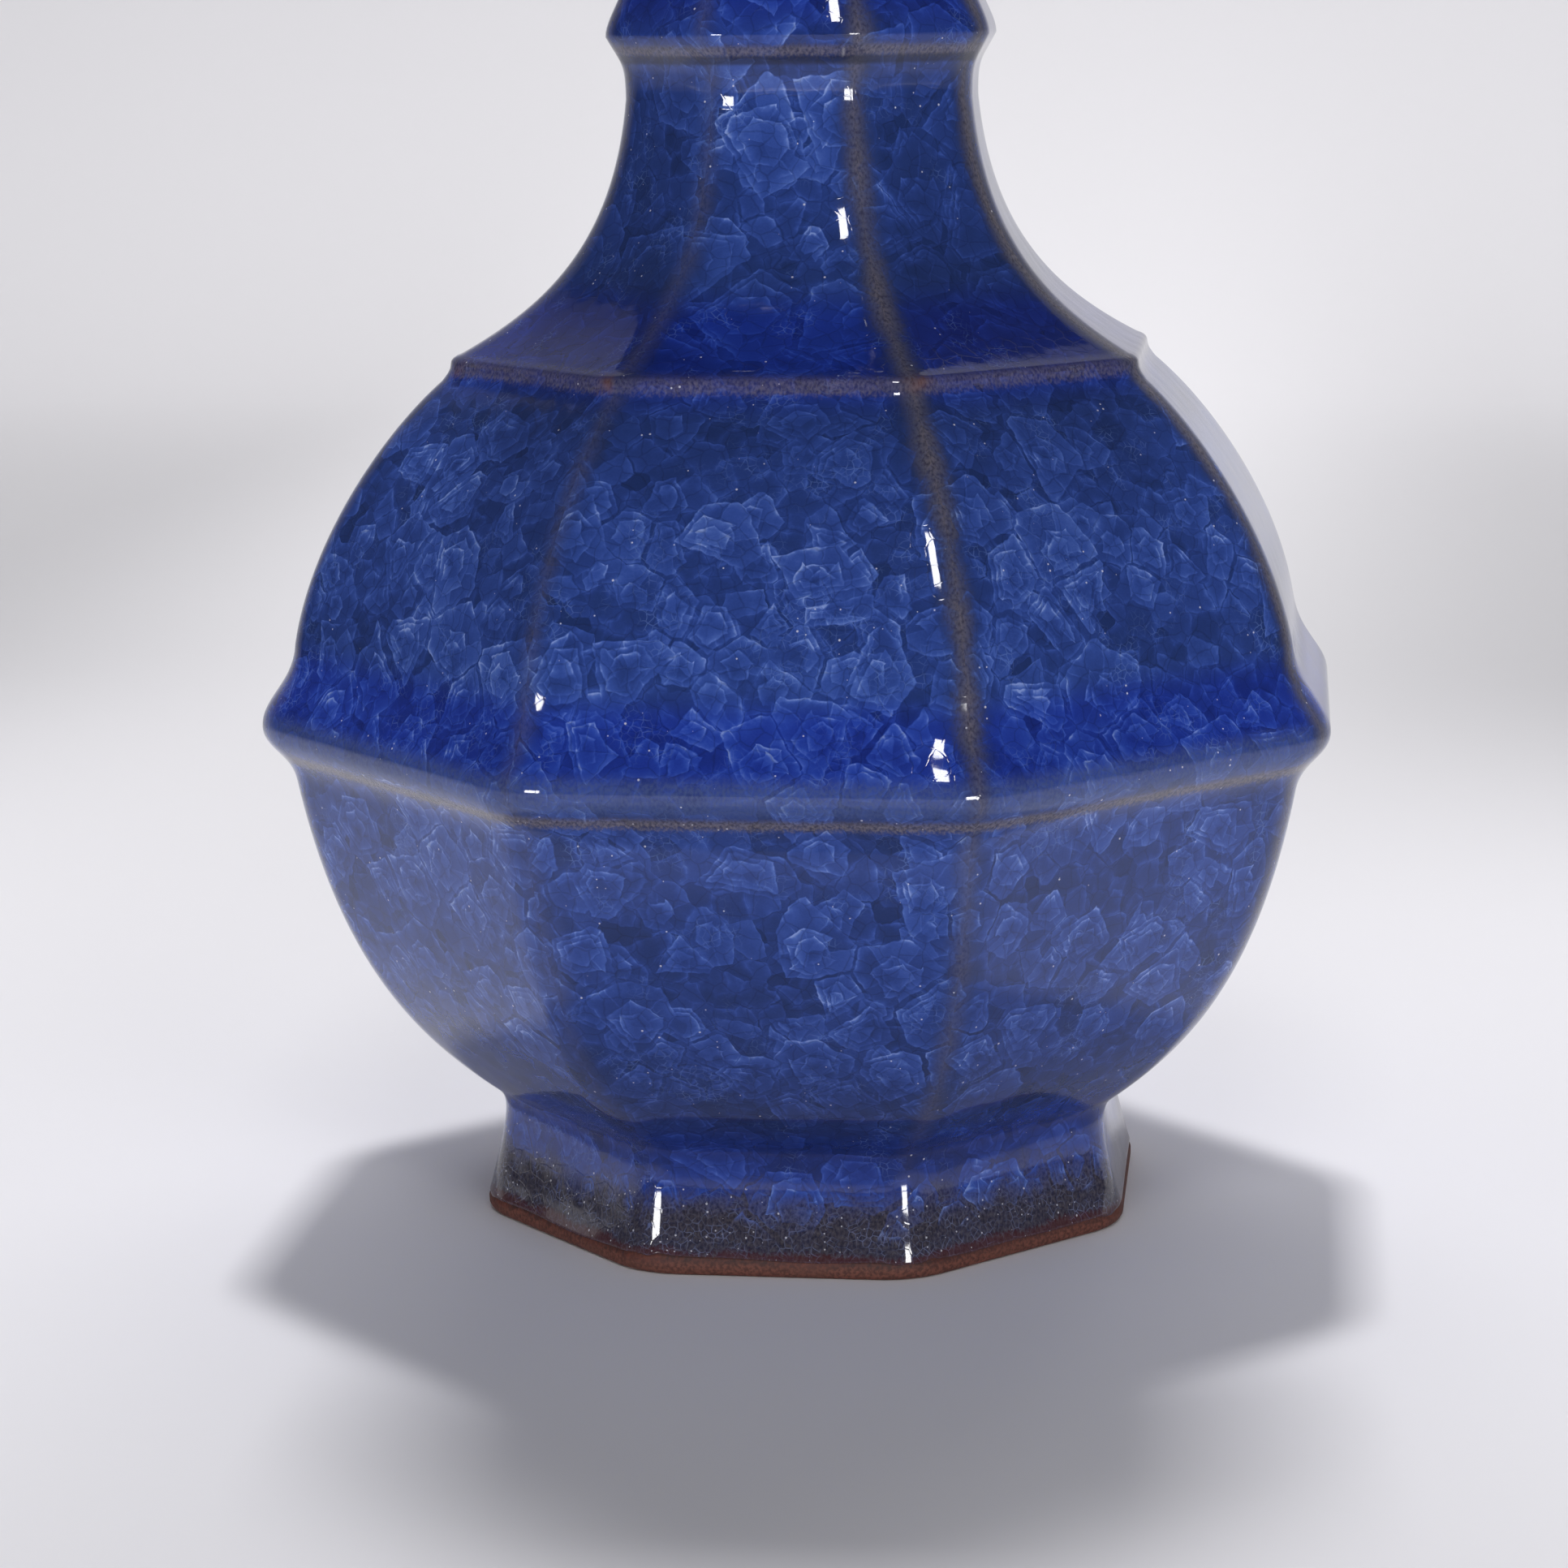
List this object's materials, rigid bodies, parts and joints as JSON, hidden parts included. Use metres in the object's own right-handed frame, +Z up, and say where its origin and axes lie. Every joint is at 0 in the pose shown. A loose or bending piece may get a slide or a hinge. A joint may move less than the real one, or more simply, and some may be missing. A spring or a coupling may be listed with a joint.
{
  "type": "bottle vase",
  "caption": "Octagonal bottle vase with a ridged belly, shoulder ridge and ringed neck, in thick crackled blue glaze over dark clay.",
  "frame": {"origin": "centre of the face that the vase stands on", "axes": "+Z up along the vase's axis, -Y square to its front face, +X to the right seen from the front"},
  "size_m": [0.1518, 0.1518, 0.275],
  "materials": {
    "bare_clay": "matt, fired red-brown",
    "clay": "matt, fired",
    "crackle_glaze": "glossy, layered ice crackle, thin and brown on the edges",
    "lining_glaze": "glossy, crackled"
  },
  "bodies": {
    "root": {"foot_ring": "bare_clay", "base_slab": "clay", "lower_body": "clay", "upper_body": "clay", "lower_neck": "clay", "upper_neck": "clay", "outer_glaze": "crackle_glaze", "lining_glaze": "lining_glaze", "base_glaze": "lining_glaze"}
  },
  "joints": []
}
